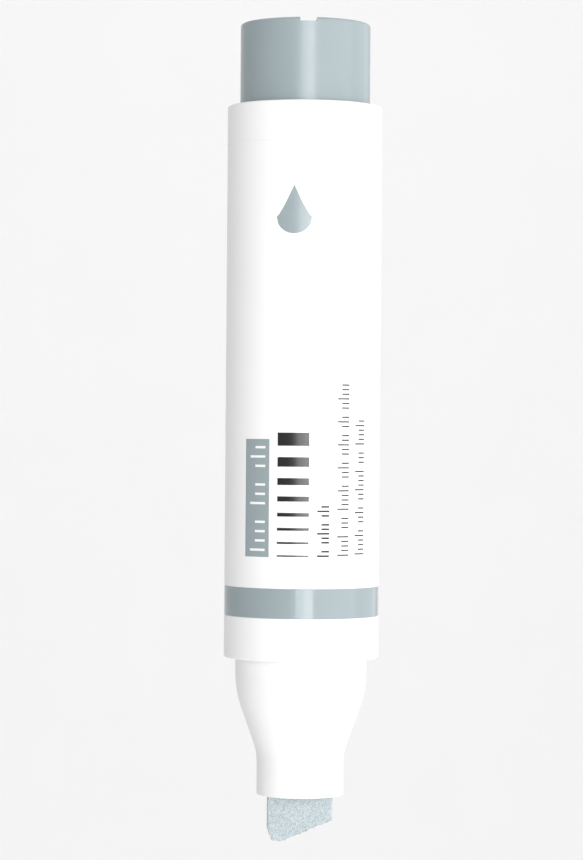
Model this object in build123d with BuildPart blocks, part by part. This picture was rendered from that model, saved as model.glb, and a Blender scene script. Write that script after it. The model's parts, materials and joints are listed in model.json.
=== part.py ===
"""Refillable felt tip marker with a broad chisel nib.

The marker stands nib down on the Z axis, in millimetres. The origin lies on the
axis at the middle of the barrel's length. X runs across the nib's broad face.
"""

from build123d import *
from math import atan, hypot, radians, tan
import os

# Barrel and the rings that share its outer diameter
body_diameter = 24.0
barrel_length = 68.3
barrel_wall = 1.4
accent_ring_length = 4.55
section_collar_length = 6.6
rear_collar_length = 6.05
edge_break = 0.06  # on the edges that meet at a parting line
rim_round = 0.3  # on the two shoulders where the body ends

# Ribs inside the barrel, which centre the reservoir and leave air channels
rib_count = 6
rib_thickness = 1.0

# Spigots that join the front section and the rear collar to the barrel
spigot_length = 8.0
spigot_wall = 1.1
spigot_lead = 0.5
snap_bead = 0.04  # height of the bead that fills the joint's clearance
snap_bead_width = 0.8

# Neck and nozzle of the front section, measured down from the collar
neck_step = 1.8  # width of the collar's shoulder
neck_land_length = 5.1  # to the corner of land and cone, before rounding
neck_cone_length = 9.75
nozzle_length = 6.45
nozzle_wall = 1.09  # at the corners of the nib
neck_shoulder_radius = 15.6
neck_throat_radius = 8.4
neck_wall = 1.5
cavity_land = 0.1  # straight end of the cavity, below its rounding
nozzle_edge_round = 0.15

# Nib
nib_width = 10.1
nib_thickness = 4.5
nib_reach = 7.0
nib_slant_rise = 3.25
nib_foot_width = 1.6  # short flat at the low end of the writing edge
nib_heel_width = 0.8
nib_heel_height = 1.95
nib_corner_round = 0.35
nib_heel_round = 0.3
nib_tail_depth = 8.0  # how far the tail stands in the reservoir
nib_tail_angle = 35.0  # between a cut face of the tail and its end plane
nib_tail_flat = 1.5

# Nib holder, a spoked insert in the top of the neck
holder_length = 6.5
holder_ring_wall = 1.1
holder_hub_wall = 1.2
holder_web = 1.2

# Fibre reservoir and its film
film_thickness = 0.25
film_setback = 0.5
reservoir_pocket_gap = 0.3

# Tail plug
head_step = 1.9  # from the body's side to the head's
head_length = 12.75
head_round = 0.4
head_wall = 1.8
skirt_step = 1.8  # from the head's side to the skirt's
skirt_length = 8.0
skirt_wall = 1.4
coin_slot_width = 2.6
coin_slot_rim_depth = 0.6
coin_slot_middle_depth = 2.0
coin_slot_turn = 2.5
coin_slot_wall = 1.4
push_fin_thickness = 1.2
push_fin_gap = 0.6  # from the skirt's bore

# Screw thread between the tail plug and the rear collar
thread_pitch = 3.0
thread_height = 0.7
thread_flank_angle = 25.0
thread_flank_gap = 0.3
thread_crest_gap = 0.15
thread_sink = 0.15  # how far a ridge is rooted in its wall
thread_end_gap = 0.4

# Seal under the head of the tail plug
seal_section = 0.9
seal_gap = 0.02
seal_seat_gap = 0.08

# Fits
press_gap = 0.05
reservoir_gap = 0.15
insert_gap = 0.1
nib_gap = 0.1
film_gap = 0.02
head_gap = 0.05
end_gap = 0.3

# Radii that follow from the sizes above
body_radius = body_diameter / 2
bore_radius = body_radius - barrel_wall
spigot_radius = bore_radius - press_gap
section_bore_radius = spigot_radius - spigot_wall
film_radius = section_bore_radius - reservoir_gap
core_radius = film_radius - film_thickness - film_gap
slot_length = nib_width + 2 * nib_gap
slot_height = nib_thickness + 2 * nib_gap
neck_radius = body_radius - neck_step
nozzle_radius = hypot(slot_length, slot_height) / 2 + nozzle_wall
neck_bore_radius = neck_radius - neck_wall
nozzle_bore_radius = nozzle_radius - neck_wall
holder_radius = neck_bore_radius - insert_gap
head_radius = body_radius - head_step
skirt_radius = head_radius - skirt_step
collar_bore_radius = skirt_radius + thread_height + thread_crest_gap
seal_radius = skirt_radius + seal_gap + seal_section / 2
seal_seat_radius = seal_radius + seal_section / 2 + seal_seat_gap
skirt_bore_radius = skirt_radius - skirt_wall

# Half widths of a thread ridge, at its crest and where it is rooted in its wall
ridge_slope = tan(radians(thread_flank_angle))
ridge_half_middle = (thread_pitch / 2 - thread_flank_gap) / 2
ridge_half_crest = ridge_half_middle - ridge_slope * thread_height / 2
ridge_half_root = ridge_half_middle + ridge_slope * (thread_height / 2 + thread_sink)

# Lengths that the two roundings of the neck take up beyond its cone
cone_angle = atan((neck_radius - nozzle_radius) / neck_cone_length)
shoulder_run = neck_shoulder_radius * tan(cone_angle / 2)
throat_run = neck_throat_radius * tan(cone_angle / 2)

# Heights, from the back of the marker to the nib's tip
barrel_back = barrel_length / 2
barrel_front = -barrel_back
body_back = barrel_back + rear_collar_length
head_base = body_back + head_gap
head_top = head_base + head_length
skirt_end = head_base - skirt_length
seal_seat_floor = head_base - seal_section - 2 * seal_gap
ring_front = barrel_front - accent_ring_length
section_front = ring_front - section_collar_length
cone_back = section_front - neck_land_length
cone_front = cone_back - neck_cone_length
cavity_end = cone_front - throat_run - cavity_land
nozzle_end = cone_front - nozzle_length
nib_tip = nozzle_end - nib_reach
rear_spigot_end = barrel_back - spigot_length
front_spigot_end = barrel_front + spigot_length
core_back = rear_spigot_end - end_gap
fin_end = core_back + end_gap
holder_front = cone_back + shoulder_run
holder_back = holder_front + holder_length
section_step = holder_back
core_front = section_step + end_gap
nib_back = core_front + nib_tail_depth
tail_shoulder = nib_back - (nib_width - nib_tail_flat) / 2 * tan(radians(nib_tail_angle))
thread_rise = seal_seat_floor - skirt_end - 2 * thread_end_gap - 2 * ridge_half_root
plug_thread_start = skirt_end + thread_end_gap + ridge_half_root
collar_thread_start = plug_thread_start - thread_pitch / 2

os.makedirs("parts", exist_ok=True)


def body_rims(part):
    """Round edges of a part that lie on the body's side, from the lowest up."""
    rims = part.edges().filter_by(GeomType.CIRCLE)
    return rims.filter_by(lambda edge: edge.radius == body_radius).sort_by(Axis.Z)


def thread_ridge(wall_radius, side, start):
    """Helical ridge rooted in a round wall; side is 1 outside the wall and -1 inside it."""
    with BuildPart() as ridge:
        with BuildLine() as helix:
            Helix(thread_pitch, thread_rise, wall_radius, center=(0, 0, start))
        with BuildSketch(Plane.XZ):
            with BuildLine():
                Polyline(
                    (wall_radius - side * thread_sink, start - ridge_half_root),
                    (wall_radius + side * thread_height, start - ridge_half_crest),
                    (wall_radius + side * thread_height, start + ridge_half_crest),
                    (wall_radius - side * thread_sink, start + ridge_half_root),
                    close=True,
                )
            make_face()
        sweep(path=helix.line, is_frenet=True)
    return ridge.part


# Barrel: a plain tube with ribs between the two spigots
with BuildPart() as barrel:
    with BuildSketch(Plane.XY.offset(barrel_front)):
        Circle(body_radius)
        Circle(bore_radius, mode=Mode.SUBTRACT)
    extrude(amount=barrel_length)
    chamfer(body_rims(barrel), edge_break)
    with BuildSketch(Plane.XY.offset(front_spigot_end + end_gap)):
        with PolarLocations(bore_radius, rib_count):
            Rectangle(2 * (bore_radius - section_bore_radius), rib_thickness)
        Circle(section_bore_radius, mode=Mode.SUBTRACT)
        Circle(bore_radius + press_gap, mode=Mode.INTERSECT)
    extrude(amount=rear_spigot_end - front_spigot_end - 2 * end_gap)
barrel.part.label = "barrel"
export_step(barrel.part, "parts/barrel.step")


# Accent ring: clamped between the barrel and the front section
with BuildPart() as accent_ring:
    with BuildSketch(Plane.XY.offset(ring_front)):
        Circle(body_radius)
        Circle(bore_radius, mode=Mode.SUBTRACT)
    extrude(amount=accent_ring_length)
    chamfer(body_rims(accent_ring), edge_break)
accent_ring.part.label = "accent_ring"
export_step(accent_ring.part, "parts/accent_ring.step")


# Front section: collar, neck and nozzle in one moulding, with a spigot that
# passes through the accent ring into the barrel
with BuildPart() as front_section:
    with BuildSketch(Plane.XZ):
        with BuildLine():
            outer = FilletPolyline(
                (neck_radius, section_front),
                (neck_radius, cone_back),
                (nozzle_radius, cone_front),
                (nozzle_radius, nozzle_end),
                radius=[neck_shoulder_radius, neck_throat_radius],
            )
            Polyline(
                outer @ 1,
                (0, nozzle_end),
                (0, front_spigot_end),
                (spigot_radius - spigot_lead, front_spigot_end),
                (spigot_radius, front_spigot_end - 2 * spigot_lead),
                (spigot_radius, ring_front),
                (body_radius, ring_front),
                (body_radius, section_front),
                outer @ 0,
            )
        make_face()
    revolve(axis=Axis.Z)
    with BuildSketch(Plane.XZ):
        with BuildLine():
            inner = FilletPolyline(
                (neck_bore_radius, section_step),
                (neck_bore_radius, cone_back),
                (nozzle_bore_radius, cone_front),
                (nozzle_bore_radius, cavity_end),
                radius=[neck_shoulder_radius - neck_wall, neck_throat_radius],
            )
            Polyline(
                inner @ 1,
                (0, cavity_end),
                (0, front_spigot_end),
                (section_bore_radius, front_spigot_end),
                (section_bore_radius, section_step),
                inner @ 0,
            )
        make_face()
    revolve(axis=Axis.Z, mode=Mode.SUBTRACT)
    with BuildSketch(Plane.XY.offset(nozzle_end)):
        RectangleRounded(slot_length, slot_height, nib_corner_round)
    extrude(amount=holder_front - nozzle_end, mode=Mode.SUBTRACT)
    with BuildSketch(Plane.XY.offset(barrel_front + spigot_length / 2 - snap_bead_width / 2)):
        Circle(spigot_radius + snap_bead)
        Circle(spigot_radius, mode=Mode.SUBTRACT)
    extrude(amount=snap_bead_width)
    shoulder_rim, joint_rim = body_rims(front_section)
    fillet(shoulder_rim, rim_round)
    chamfer(joint_rim, edge_break)
    fillet(front_section.edges().filter_by(GeomType.CIRCLE).group_by(Axis.Z)[0], nozzle_edge_round)
front_section.part.label = "front_section"
export_step(front_section.part, "parts/front_section.step")


# Nib holder: a ring and a hub with the nib's slot, joined by webs that let air past
with BuildPart() as nib_holder:
    with BuildSketch(Plane.XY.offset(holder_front)):
        Circle(holder_radius)
        Circle(holder_radius - holder_ring_wall, mode=Mode.SUBTRACT)
        Rectangle(2 * holder_radius, holder_web)
        Rectangle(holder_web, 2 * holder_radius)
        RectangleRounded(
            slot_length + 2 * holder_hub_wall, slot_height + 2 * holder_hub_wall, holder_hub_wall
        )
        RectangleRounded(slot_length, slot_height, nib_corner_round, mode=Mode.SUBTRACT)
        Circle(holder_radius, mode=Mode.INTERSECT)
    extrude(amount=holder_length)
nib_holder.part.label = "nib_holder"
export_step(nib_holder.part, "parts/nib_holder.step")


# Nib: a felt slab with a slanted writing edge and a wedge tail in the reservoir
with BuildPart() as nib:
    with BuildSketch(Plane.XZ.offset(-nib_thickness / 2)) as nib_outline:
        with BuildLine():
            Polyline(
                (-nib_width / 2, nib_tip + nib_heel_height),
                (-nib_width / 2 + nib_heel_width, nib_tip),
                (-nib_width / 2 + nib_heel_width + nib_foot_width, nib_tip),
                (nib_width / 2, nib_tip + nib_slant_rise),
                (nib_width / 2, tail_shoulder),
                (nib_tail_flat / 2, nib_back),
                (-nib_tail_flat / 2, nib_back),
                (-nib_width / 2, tail_shoulder),
                close=True,
            )
        make_face()
        fillet(nib_outline.vertices().group_by(Axis.Y)[0], nib_heel_round)
    extrude(amount=nib_thickness)
    fillet(nib.edges().filter_by(Axis.Z), nib_corner_round)
nib.part.label = "nib"
export_step(nib.part, "parts/nib.step")


# Reservoir core: a fibre rod with the pocket that the nib's tail stands in
with BuildPart() as reservoir_core:
    with BuildSketch(Plane.XY.offset(core_front)):
        Circle(core_radius)
    extrude(amount=core_back - core_front)
    with BuildSketch(Plane.XZ.offset(-nib_thickness / 2 - reservoir_pocket_gap)):
        with BuildLine():
            Polyline(
                (-nib_width / 2, core_front),
                (nib_width / 2, core_front),
                (nib_width / 2, tail_shoulder),
                (nib_tail_flat / 2, nib_back),
                (-nib_tail_flat / 2, nib_back),
                (-nib_width / 2, tail_shoulder),
                close=True,
            )
        make_face()
        offset(amount=reservoir_pocket_gap, kind=Kind.INTERSECTION)
    extrude(amount=nib_thickness + 2 * reservoir_pocket_gap, mode=Mode.SUBTRACT)
reservoir_core.part.label = "reservoir_core"
export_step(reservoir_core.part, "parts/reservoir_core.step")


# Reservoir film: the thin wrap around the core, short of its two ends
with BuildPart() as reservoir_film:
    with BuildSketch(Plane.XY.offset(core_front + film_setback)):
        Circle(film_radius)
        Circle(core_radius + film_gap, mode=Mode.SUBTRACT)
    extrude(amount=core_back - core_front - 2 * film_setback)
reservoir_film.part.label = "reservoir_film"
export_step(reservoir_film.part, "parts/reservoir_film.step")


# Rear collar: the threaded mouth of the barrel, with a seat for the seal
collar_ridge = thread_ridge(collar_bore_radius, -1, collar_thread_start)
with BuildPart() as rear_collar:
    with BuildSketch(Plane.XZ):
        with BuildLine():
            Polyline(
                (collar_bore_radius, rear_spigot_end),
                (spigot_radius - spigot_lead, rear_spigot_end),
                (spigot_radius, rear_spigot_end + 2 * spigot_lead),
                (spigot_radius, barrel_back),
                (body_radius, barrel_back),
                (body_radius, body_back),
                (seal_seat_radius, body_back),
                (seal_seat_radius, seal_seat_floor),
                (collar_bore_radius, seal_seat_floor),
                close=True,
            )
        make_face()
    revolve(axis=Axis.Z)
    joint_rim, back_rim = body_rims(rear_collar)
    fillet(back_rim, rim_round)
    chamfer(joint_rim, edge_break)
    add(collar_ridge)
rear_collar.part.label = "rear_collar"
export_step(rear_collar.part, "parts/rear_collar.step")


# Tail plug: a hollow head with a coin slot, and a threaded skirt with the fins
# that keep the reservoir against the nib
coin_boss_end = head_top - coin_slot_middle_depth - coin_slot_wall
coin_sagitta = coin_slot_middle_depth - coin_slot_rim_depth
coin_radius = (head_radius**2 + coin_sagitta**2) / (2 * coin_sagitta)
coin_plane = Plane.YZ.rotated((0, 0, coin_slot_turn))
plug_ridge = thread_ridge(skirt_radius, 1, plug_thread_start)
with BuildPart() as tail_plug:
    with BuildSketch(Plane.XZ):
        with BuildLine():
            Polyline(
                (0, head_top),
                (head_radius, head_top),
                (head_radius, head_base),
                (skirt_radius, head_base),
                (skirt_radius, skirt_end),
                (skirt_bore_radius, skirt_end),
                (skirt_bore_radius, head_base + head_wall),
                (head_radius - head_wall, head_base + 2 * head_wall),
                (head_radius - head_wall, head_top - head_wall),
                (0, head_top - head_wall),
                close=True,
            )
        make_face()
    revolve(axis=Axis.Z)
    head_rims = tail_plug.edges().filter_by(GeomType.CIRCLE).filter_by(
        lambda edge: edge.radius == head_radius)
    fillet(head_rims.sort_by(Axis.Z)[-1], head_round)
    chamfer(head_rims.sort_by(Axis.Z)[0], edge_break)
    with BuildSketch(coin_plane.offset(-coin_slot_width / 2 - coin_slot_wall)):
        with Locations((0, coin_boss_end)):
            Rectangle(
                2 * head_radius - head_wall,
                head_top - head_round - coin_boss_end,
                align=(Align.CENTER, Align.MIN),
            )
    extrude(amount=coin_slot_width + 2 * coin_slot_wall)
    with BuildSketch(coin_plane.offset(-coin_slot_width / 2)):
        with Locations((0, head_top - coin_slot_middle_depth + coin_radius)):
            Circle(coin_radius)
    extrude(amount=coin_slot_width, mode=Mode.SUBTRACT)
    with BuildSketch(Plane.XY.offset(fin_end)):
        Rectangle(2 * (skirt_bore_radius - push_fin_gap), push_fin_thickness)
        Rectangle(push_fin_thickness, 2 * (skirt_bore_radius - push_fin_gap))
    extrude(until=Until.NEXT)
    add(plug_ridge)
tail_plug.part.label = "tail_plug"
export_step(tail_plug.part, "parts/tail_plug.step")


# Plug seal: an O-ring on the skirt, in the collar's seat
with BuildPart() as plug_seal:
    with BuildSketch(Plane.XZ):
        with Locations((seal_radius, head_base - seal_gap - seal_section / 2)):
            Circle(seal_section / 2)
    revolve(axis=Axis.Z)
plug_seal.part.label = "plug_seal"
export_step(plug_seal.part, "parts/plug_seal.step")
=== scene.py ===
import json
from math import cos, pi, radians, sin, sqrt
from random import Random

import bmesh
import bpy
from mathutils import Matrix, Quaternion, Vector, noise


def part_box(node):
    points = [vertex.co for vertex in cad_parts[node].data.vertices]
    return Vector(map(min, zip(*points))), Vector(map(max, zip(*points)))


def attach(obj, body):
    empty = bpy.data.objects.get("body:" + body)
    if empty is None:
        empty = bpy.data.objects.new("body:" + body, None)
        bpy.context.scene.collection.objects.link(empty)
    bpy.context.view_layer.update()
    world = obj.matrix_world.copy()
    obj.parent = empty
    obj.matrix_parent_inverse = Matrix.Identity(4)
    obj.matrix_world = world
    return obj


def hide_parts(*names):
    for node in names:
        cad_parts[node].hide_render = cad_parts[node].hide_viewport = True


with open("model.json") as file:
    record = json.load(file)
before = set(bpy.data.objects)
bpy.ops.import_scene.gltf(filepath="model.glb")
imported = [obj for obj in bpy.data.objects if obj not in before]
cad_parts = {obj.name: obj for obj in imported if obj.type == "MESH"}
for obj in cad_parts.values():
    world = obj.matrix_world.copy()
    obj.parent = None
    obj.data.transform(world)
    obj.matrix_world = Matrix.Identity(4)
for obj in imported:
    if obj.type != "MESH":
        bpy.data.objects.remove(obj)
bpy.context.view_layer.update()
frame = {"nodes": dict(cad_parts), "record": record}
mm = 0.001

# ---------------------------------------------------------------- places, read from the frame
nodes = frame["nodes"]
barrel_low, barrel_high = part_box("barrel")
section_low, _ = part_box("front_section")
nib_low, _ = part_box("nib")
body_radius = barrel_high.x
barrel_front = barrel_low.z
nozzle_end = section_low.z
nib_tip = nib_low.z


# ---------------------------------------------------------------- shader building
noise_low, noise_high = 0.3, 0.7


class Shader:
    """A node material, with short calls for the nodes that the finishes share."""

    def __init__(self, name):
        self.material = bpy.data.materials.new(name)
        self.material.use_nodes = True
        self.tree = self.material.node_tree
        self.surface = self.tree.nodes["Principled BSDF"]
        self.place = self.tree.nodes.new("ShaderNodeTexCoord").outputs["Object"]

    def link(self, source, socket):
        """Join an output to an input."""
        self.tree.links.new(source, socket)

    def stretched(self, scale):
        """The object's own coordinates, scaled by axis; a small scale draws a pattern out."""
        node = self.tree.nodes.new("ShaderNodeMapping")
        node.inputs["Scale"].default_value = scale
        self.link(self.place, node.inputs["Vector"])
        return node.outputs["Vector"]

    def noise(self, size, detail=3.0, rough=0.5, place=None):
        """Noise whose blotches are about size metres across."""
        node = self.tree.nodes.new("ShaderNodeTexNoise")
        node.inputs["Scale"].default_value = 1 / size
        node.inputs["Detail"].default_value = detail
        node.inputs["Roughness"].default_value = rough
        self.link(place or self.place, node.inputs["Vector"])
        return node.outputs["Fac"]

    def spread(self, source, low, high):
        """Maps a noise to low..high, over the range that most of the noise lies in."""
        node = self.tree.nodes.new("ShaderNodeMapRange")
        node.inputs["From Min"].default_value = noise_low
        node.inputs["From Max"].default_value = noise_high
        node.inputs["To Min"].default_value = low
        node.inputs["To Max"].default_value = high
        self.link(source, node.inputs["Value"])
        return node.outputs["Result"]

    def ramp(self, source, stops):
        """Colour ramp; stops are (position, (r, g, b))."""
        node = self.tree.nodes.new("ShaderNodeValToRGB")
        ramp = node.color_ramp
        while len(ramp.elements) < len(stops):
            ramp.elements.new(0.5)
        for element, (position, colour) in zip(ramp.elements, stops):
            element.position = position
            element.color = (*colour, 1)
        self.link(source, node.inputs["Fac"])
        return node.outputs["Color"]

    def blend(self, mode, first, second):
        """Two colours joined by one of Blender's blend modes."""
        node = self.tree.nodes.new("ShaderNodeMix")
        node.data_type = "RGBA"
        node.blend_type = mode
        node.inputs["Factor"].default_value = 1
        self.link(first, node.inputs["A"])
        self.link(second, node.inputs["B"])
        return node.outputs["Result"]

    def bump(self, height, depth, before=None):
        """A bump of the given depth in metres, on top of another one if before is given."""
        node = self.tree.nodes.new("ShaderNodeBump")
        node.inputs["Distance"].default_value = depth
        self.link(height, node.inputs["Height"])
        if before:
            self.link(before, node.inputs["Normal"])
        return node.outputs["Normal"]

    def set(self, **values):
        """Uniform values for the surface; an underscore stands for the space in an input's name."""
        for name, value in values.items():
            self.surface.inputs[name.replace("_", " ")].default_value = value


def tones(colour, spread):
    """Three stops round a colour, for a ramp that varies it slightly with a noise."""
    return [
        (noise_low, tuple(c * (1 - spread) for c in colour)),
        (0.5, colour),
        (noise_high, tuple(min(1.0, c * (1 + spread)) for c in colour)),
    ]


# ---------------------------------------------------------------- finishes
# Sizes and depths of patterns are in metres. Each range of roughness stays below or above 0.27:
# where one crosses that value, the renderer's noise filter outlines the pattern.
def moulded(name, colour, rough, variation=0.012, grain=0.0015 * mm):
    """Satin moulded plastic: slight tone, handling marks in its gloss, faint ripples and fine grain."""
    tone_size = 9 * mm
    scuff_size, scuff_stretch = 0.6 * mm, (1, 1, 0.2)
    flow_size, flow_depth = 4 * mm, 0.004 * mm
    grain_size = 0.12 * mm
    s = Shader(name)
    s.link(s.ramp(s.noise(tone_size), tones(colour, variation)), s.surface.inputs["Base Color"])
    scuffs = s.noise(scuff_size, place=s.stretched(scuff_stretch))
    s.link(s.spread(scuffs, *rough), s.surface.inputs["Roughness"])
    flow = s.bump(s.noise(flow_size, detail=1), flow_depth)
    s.link(s.bump(s.noise(grain_size, detail=2), grain, flow), s.surface.inputs["Normal"])
    s.set(IOR=1.49)
    return s.material


def ink(name, colour, rough):
    """Pad-printed ink: a dense film with a slightly uneven lay."""
    tone_size, tone_spread = 0.6 * mm, 0.02
    gloss_size, gloss_spread = 0.25 * mm, 0.03
    lay_size, lay_depth = 0.18 * mm, 0.0003 * mm
    s = Shader(name)
    s.link(s.ramp(s.noise(tone_size, detail=5), tones(colour, tone_spread)), s.surface.inputs["Base Color"])
    gloss = s.spread(s.noise(gloss_size), rough - gloss_spread, rough + gloss_spread)
    s.link(gloss, s.surface.inputs["Roughness"])
    s.link(s.bump(s.noise(lay_size), lay_depth), s.surface.inputs["Normal"])
    s.set(IOR=1.5)
    return s.material


def felt(name, cool, warm):
    """Pressed felt: a mat of curly fibres with painted shade in the gaps between them, between a cooler and
    a warmer tint.
    """
    long_size = 0.24 * mm
    short_size, short_stretch = 0.15 * mm, (1.3, 1, 0.8)
    tint_size = 1.6 * mm
    mat_depth = 0.03 * mm
    # The middle grey is painted shade for the gaps between fibres.
    dark, painted_gap_shade, bright = (0, 0, 0), (0.5, 0.5, 0.5), (1, 1, 1)
    strand = [(0.41, dark), (0.5, bright), (0.59, dark)]
    s = Shader(name)
    long_strands = s.ramp(s.noise(long_size, detail=1, rough=0.4), strand)
    short_noise = s.noise(short_size, detail=1, rough=0.4, place=s.stretched(short_stretch))
    mat = s.blend("SCREEN", long_strands, s.ramp(short_noise, strand))
    tint = s.ramp(s.noise(tint_size, detail=2), [(0.4, cool), (0.6, warm)])
    # Painted shade: the colour is darkened to half where the fibre mat is low, in the gaps that the bump
    # sinks.
    shade = s.ramp(mat, [(0.0, painted_gap_shade), (0.9, bright)])
    s.link(s.blend("MULTIPLY", tint, shade), s.surface.inputs["Base Color"])
    s.link(s.bump(mat, mat_depth), s.surface.inputs["Normal"])
    s.set(Roughness=0.9, Sheen_Weight=0.2, Sheen_Roughness=0.6)
    return s.material


def fibre_rod(name, colour):
    """Bonded fibres that run along the rod."""
    strand_size, strand_stretch = 0.12 * mm, (1, 1, 0.03)
    strand_depth, strand_contrast = 0.03 * mm, 0.15
    s = Shader(name)
    strands = s.noise(strand_size, detail=5, rough=0.6, place=s.stretched(strand_stretch))
    s.link(s.ramp(strands, tones(colour, strand_contrast)), s.surface.inputs["Base Color"])
    s.link(s.bump(strands, strand_depth), s.surface.inputs["Normal"])
    s.set(Roughness=0.85, Sheen_Weight=0.2)
    return s.material


def rubber(name, colour, rough):
    """Matt rubber with a fine bloom."""
    bloom_size, bloom_contrast = 0.7 * mm, 0.25
    skin_size, skin_depth = 0.08 * mm, 0.003 * mm
    s = Shader(name)
    bloom = s.noise(bloom_size, detail=5)
    s.link(s.ramp(bloom, tones(colour, bloom_contrast)), s.surface.inputs["Base Color"])
    s.link(s.spread(bloom, *rough), s.surface.inputs["Roughness"])
    s.link(s.bump(s.noise(skin_size), skin_depth), s.surface.inputs["Normal"])
    return s.material


def paper_floor(name, colour):
    """Plain matt paper, with a very slight unevenness of tone."""
    tone_size, tone_spread = 60 * mm, 0.004
    s = Shader(name)
    s.link(s.ramp(s.noise(tone_size), tones(colour, tone_spread)), s.surface.inputs["Base Color"])
    s.set(Roughness=0.9)
    return s.material


white = (0.84, 0.84, 0.842)
grey = (0.28, 0.335, 0.354)
nib_cool = (0.56, 0.645, 0.685)
nib_warm = (0.565, 0.64, 0.66)
holder_white = (0.72, 0.73, 0.72)
film_white = (0.78, 0.8, 0.82)
black = (0.012, 0.012, 0.013)
reservoir_grey = (0.42, 0.49, 0.51)
paper_white = (0.95, 0.95, 0.95)
materials = {
    "white_plastic": moulded("white_plastic", white, rough=(0.28, 0.35), variation=0.006),
    "grey_plastic": moulded("grey_plastic", grey, rough=(0.21, 0.27), variation=0.02),
    "holder_plastic": moulded("holder_plastic", holder_white, rough=(0.4, 0.55)),
    "film": moulded("film", film_white, rough=(0.18, 0.27)),
    "seal_rubber": rubber("seal_rubber", black, rough=(0.5, 0.65)),
    "nib_felt": felt("nib_felt", nib_cool, nib_warm),
    "reservoir_fibre": fibre_rod("reservoir_fibre", reservoir_grey),
}
slots = {part["node"]: part["material_slot"] for part in frame["record"]["subparts"]}
for name, node in nodes.items():
    node.data.materials.clear()
    node.data.materials.append(materials[slots[name]])
ring_finish = moulded("grey_plastic_polished", grey, rough=(0.1, 0.14), variation=0.02, grain=0.0002 * mm)
nodes["accent_ring"].data.materials[0] = ring_finish


# ---------------------------------------------------------------- pieces made here
def add_piece(name, mesh, body, material):
    """Put a mesh in the scene as a piece that rides on a body."""
    mesh.materials.clear()
    mesh.materials.append(material)
    for face in mesh.polygons:
        face.use_smooth = True
    piece = bpy.data.objects.new(name, mesh)
    bpy.context.scene.collection.objects.link(piece)
    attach(piece, body)
    return piece


def felt_nib():
    """The nib as pressed felt: softened, grained well inside its slot's gap, and ragged where it writes."""
    coarse_size, coarse_depth, worn_depth = 0.4 * mm, 0.05 * mm, 0.2 * mm
    fine_size, fine_depth = 0.25 * mm, 0.07 * mm
    voxel = 0.13 * mm
    source = bpy.data.objects.new("nib_source", nodes["nib"].data.copy())
    bpy.context.scene.collection.objects.link(source)
    remesh = source.modifiers.new("voxels", "REMESH")
    remesh.mode = "VOXEL"
    remesh.voxel_size = voxel
    soften = source.modifiers.new("soften", "SMOOTH")
    soften.factor = 0.5
    soften.iterations = 1
    depsgraph = bpy.context.evaluated_depsgraph_get()
    mesh = bpy.data.meshes.new_from_object(source.evaluated_get(depsgraph))
    bpy.data.objects.remove(source)
    grained = []
    for vertex in mesh.vertices:
        faces_down = max(0.0, -vertex.normal.z)
        coarse = noise.noise(vertex.co / coarse_size) * (coarse_depth + faces_down * worn_depth)
        fine = noise.noise(vertex.co / fine_size) * fine_depth
        grained.append(vertex.co + vertex.normal * (coarse + fine))
    for vertex, place in zip(mesh.vertices, grained):
        vertex.co = place
    return add_piece("felt_nib", mesh, "nib", materials["nib_felt"])


def loose_fibres(nib, count):
    """Fine fibres that stand off the bare end of the nib: bent tubes, closed at both ends."""
    chance = Random(11)
    radius = 0.011 * mm
    sides = 4
    joints = 5
    shortest, longest = 0.15, 0.45
    least_lift, most_lift = 0.15, 0.6
    most_curl = 0.5
    droop = 0.6
    taper = 0.5
    clear_of_nozzle = 0.6 * mm
    bare = [v for v in nib.data.vertices if v.co.z < nozzle_end - clear_of_nozzle]
    shape = bmesh.new()
    for _ in range(count):
        vertex = chance.choice(bare)
        root = vertex.co - vertex.normal * 2 * radius
        lie = vertex.normal.orthogonal().normalized()
        lie.rotate(Quaternion(vertex.normal, chance.uniform(0, 2 * pi)))
        length = chance.uniform(shortest, longest) * mm
        lift = chance.uniform(least_lift, most_lift)
        curl = chance.uniform(-most_curl, most_curl)
        across = vertex.normal.cross(lie)
        rings = []
        for joint in range(joints):
            run = joint / (joints - 1)
            bend = run * (1 - droop * run) * lift * vertex.normal + run * run * curl * across
            place = root + length * (run * lie + bend)
            thin = radius * (1 - taper * run)
            rings.append([
                shape.verts.new(place + thin * (cos(turn) * vertex.normal + sin(turn) * across))
                for turn in (2 * pi * side / sides for side in range(sides))
            ])
        shape.faces.new(rings[0][::-1])
        for near, far in zip(rings, rings[1:]):
            for side in range(sides):
                after = (side + 1) % sides
                shape.faces.new((near[side], near[after], far[after], far[side]))
        shape.faces.new(rings[-1])
    bmesh.ops.recalc_face_normals(shape, faces=shape.faces)
    mesh = bpy.data.meshes.new("nib_fibres")
    shape.to_mesh(mesh)
    shape.free()
    return add_piece("nib_fibres", mesh, "nib", materials["nib_felt"])


nib_piece = felt_nib()
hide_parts("nib")
loose_fibres(nib_piece, count=420)


# ---------------------------------------------------------------- printed graphics
# Angles go round the barrel from the front (-Y) towards +X, in degrees. Heights are above the
# barrel's front end. Each graphic is a thin film of ink on the barrel's wall, closed on all sides.
ink_sunk = 0.05 * mm
ink_proud = 0.018 * mm
over_ink_proud = 0.03 * mm
facet_angle = 1.5
crease = radians(30)


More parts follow.
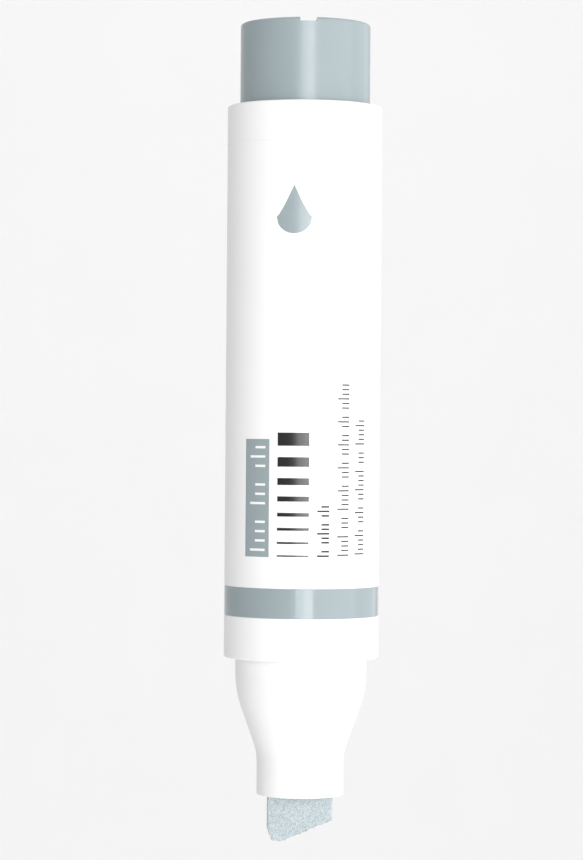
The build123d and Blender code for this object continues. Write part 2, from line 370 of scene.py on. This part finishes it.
class Print:
    """Closed films of ink that wrap round the barrel, gathered in one mesh."""

    def __init__(self, proud=ink_proud):
        self.shape = bmesh.new()
        self.inner = body_radius - ink_sunk
        self.outer = body_radius + proud

    def corner(self, radius, angle, height):
        """A vertex at an angle round the barrel."""
        turn = radians(angle)
        return self.shape.verts.new((radius * sin(turn), -radius * cos(turn), barrel_front + height))

    def film(self, columns):
        """One film; columns are (angle, low height, high height), in the order of their angles."""
        rings = []
        for angle, low, high in columns:
            rings.append([
                self.corner(self.outer, angle, low),
                self.corner(self.outer, angle, high),
                self.corner(self.inner, angle, high),
                self.corner(self.inner, angle, low),
            ])
        self.shape.faces.new(rings[0])
        for near, far in zip(rings, rings[1:]):
            for side in range(len(near)):
                after = (side + 1) % len(near)
                self.shape.faces.new((near[side], far[side], far[after], near[after]))
        self.shape.faces.new(rings[-1][::-1])

    def block(self, left, right, low, high):
        """A film of even height from one angle to another."""
        steps = max(1, round((right - left) / facet_angle))
        self.film([(left + (right - left) * step / steps, low, high) for step in range(steps + 1)])

    def piece(self, name, material):
        """Put the films in the scene as one piece of the body, with their edges kept sharp."""
        bmesh.ops.recalc_face_normals(self.shape, faces=self.shape.faces)
        for edge in self.shape.edges:
            edge.smooth = edge.calc_face_angle(0) < crease
        mesh = bpy.data.meshes.new(name)
        self.shape.to_mesh(mesh)
        self.shape.free()
        return add_piece(name, mesh, "body", material)


def ink_drop(graphic, middle, foot, width, height):
    """A drop with its point up: a round foot, and sides that curve in to the point."""
    steps = 24
    half_angle = width / 2
    foot_round = height * 0.34
    sweep = 1.25
    thinnest = 0.02 * mm
    columns = []
    for step in range(steps + 1):
        across = -1 + 2 * step / steps
        low = foot_round * (1 - sqrt(max(0.0, 1 - across * across)))
        high = foot_round + (height - foot_round) * (1 - abs(across)) ** sweep
        columns.append((middle + half_angle * across, foot + low, foot + max(high, low + thinnest)))
    graphic.film(columns)


def weight_scale(graphic, left, right, foot, top, finest, broadest, count):
    """Strokes from fine to broad, one above the other, as on a chart of line weights."""
    weights = [finest * (broadest / finest) ** (step / (count - 1)) for step in range(count)]
    gap = (top - foot - sum(weights)) / (count - 1)
    low = foot
    for weight in weights:
        graphic.block(left, right, low, low + weight)
        low += weight + gap


def tick_line(graphic, left, right, foot, groups, pitch, weight):
    """Groups of fine ticks that read up the barrel, with long ones at even steps."""
    long_every = 4
    cut_from_short = 0.35
    low = foot
    count = 0
    for group in groups:
        for _ in range(group):
            reach = left if count % long_every == 0 else left + cut_from_short * (right - left)
            graphic.block(reach, right, low, low + weight)
            low += pitch
            count += 1
        low += pitch


ink_black = ink("ink_black", black, rough=0.2)
ink_grey = ink("ink_grey", grey, rough=0.2)
ink_white = ink("ink_white", white, rough=0.24)

mark = Print()
ink_drop(mark, middle=-7.5, foot=54.0 * mm, width=26, height=7.4 * mm)
mark.piece("print_drop", ink_grey)

panel = Print()
panel.block(left=-46.0, right=-25.0, low=4.8 * mm, high=22.75 * mm)
panel.piece("print_panel", ink_grey)

panel_ticks = Print(over_ink_proud)
tick_line(
    panel_ticks, left=-41.3, right=-28.2, foot=5.7 * mm,
    groups=(4, 3, 3), pitch=1.42 * mm, weight=0.36 * mm,
)
panel_ticks.piece("print_panel_ticks", ink_white)

scale = Print()
weight_scale(
    scale, left=-18.5, right=4.8, foot=4.9 * mm, top=23.75 * mm,
    finest=0.22 * mm, broadest=2.0 * mm, count=8,
)
scale.piece("print_weight_scale", ink_black)

small_print = Print()
tick_line(
    small_print, left=11.0, right=20.0, foot=4.9 * mm,
    groups=(2, 5, 3), pitch=0.68 * mm, weight=0.26 * mm,
)
tick_line(
    small_print, left=26.5, right=36.0, foot=5.05 * mm,
    groups=(5, 3, 6, 4, 5, 3, 6), pitch=0.7 * mm, weight=0.2 * mm,
)
tick_line(
    small_print, left=42.0, right=51.4, foot=5.2 * mm,
    groups=(6, 4, 7, 3, 6), pitch=0.7 * mm, weight=0.2 * mm,
)
small_print.piece("print_ticks", ink_black)


# ---------------------------------------------------------------- floor, lights and camera
def soft_light(name, place, target, width, height, radiance):
    """A rectangular soft box at a place, turned towards a target. The camera doesn't see it."""
    data = bpy.data.lights.new(name, "AREA")
    data.shape = "RECTANGLE"
    data.size = width
    data.size_y = height
    data.energy = radiance * pi * width * height
    lamp = bpy.data.objects.new(name, data)
    bpy.context.scene.collection.objects.link(lamp)
    lamp.location = place
    lamp.rotation_euler = (Vector(place) - Vector(target)).to_track_quat("Z", "Y").to_euler()
    lamp.visible_camera = False


def level_light(name, azimuth, distance, width, height, radiance):
    """A soft box on the marker's level that faces it; azimuth 0 is in front, positive is to the right."""
    turn = radians(azimuth)
    place = Vector((sin(turn), -cos(turn), 0)) * distance
    soft_light(name, place, Vector((0, 0, 0)), width, height, radiance)


camera_distance = 0.467
camera_aside = -1.725 * mm
camera_height = -10.0 * mm
camera_roll = radians(-0.45)
camera_lens = 125.6
camera_data = bpy.data.cameras.new("camera")
camera_data.lens = camera_lens
camera_data.sensor_width = 36
camera_data.clip_start = 0.01
camera = bpy.data.objects.new("camera", camera_data)
camera.location = (camera_aside, -camera_distance, camera_height)
camera.rotation_euler = (pi / 2, camera_roll, 0)
bpy.context.scene.collection.objects.link(camera)
bpy.context.scene.camera = camera

floor_drop = 1200 * mm
floor_front = -12.0
bend_start = 1.6
bend_radius = 1.2
bend_steps = 24
wall_top = 5.0
half_width = 12.0
floor_mesh = bpy.data.meshes.new("floor")
shape = bmesh.new()
profile = [(floor_front, 0.0), (bend_start, 0.0)]
for step in range(1, bend_steps + 1):
    turn = pi / 2 * step / bend_steps
    profile.append((bend_start + bend_radius * sin(turn), bend_radius * (1 - cos(turn))))
profile.append((bend_start + bend_radius, wall_top))
rows = []
for y, z in profile:
    height = nib_tip - floor_drop + z
    rows.append([shape.verts.new((-half_width, y, height)), shape.verts.new((half_width, y, height))])
for near, far in zip(rows, rows[1:]):
    shape.faces.new((near[0], near[1], far[1], far[0]))
for face in shape.faces:
    face.smooth = True
shape.to_mesh(floor_mesh)
shape.free()
floor = bpy.data.objects.new("floor", floor_mesh)
bpy.context.scene.collection.objects.link(floor)
floor.data.materials.append(paper_floor("floor_paper", paper_white))

# Three boxes that overlap in front make the soft streak, the key lights the right half, and the
# side box lights the right edge. The last one hangs over the backdrop.
strip_height = 0.95
level_light("strip_wide", azimuth=2, distance=1.33, width=0.86, height=strip_height, radiance=0.7)
level_light("strip", azimuth=4, distance=1.3, width=0.58, height=strip_height, radiance=2.8)
level_light("strip_edge", azimuth=10, distance=1.27, width=0.3, height=strip_height, radiance=2.1)
level_light("key", azimuth=38, distance=1.6, width=3.4, height=2.0, radiance=1.31)
level_light("side", azimuth=112, distance=1.6, width=2.0, height=2.0, radiance=0.85)
soft_light("backdrop", place=(0, 1.0, 1.9), target=(0, 1.3, 0), width=3.0, height=1.4, radiance=1.62)

world_light = 0.5
world = bpy.data.worlds.new("world")
world.use_nodes = True
world.node_tree.nodes["Background"].inputs["Color"].default_value = (1, 1, 1, 1)
world.node_tree.nodes["Background"].inputs["Strength"].default_value = world_light
bpy.context.scene.world = world
bpy.context.scene.view_settings.view_transform = "Standard"
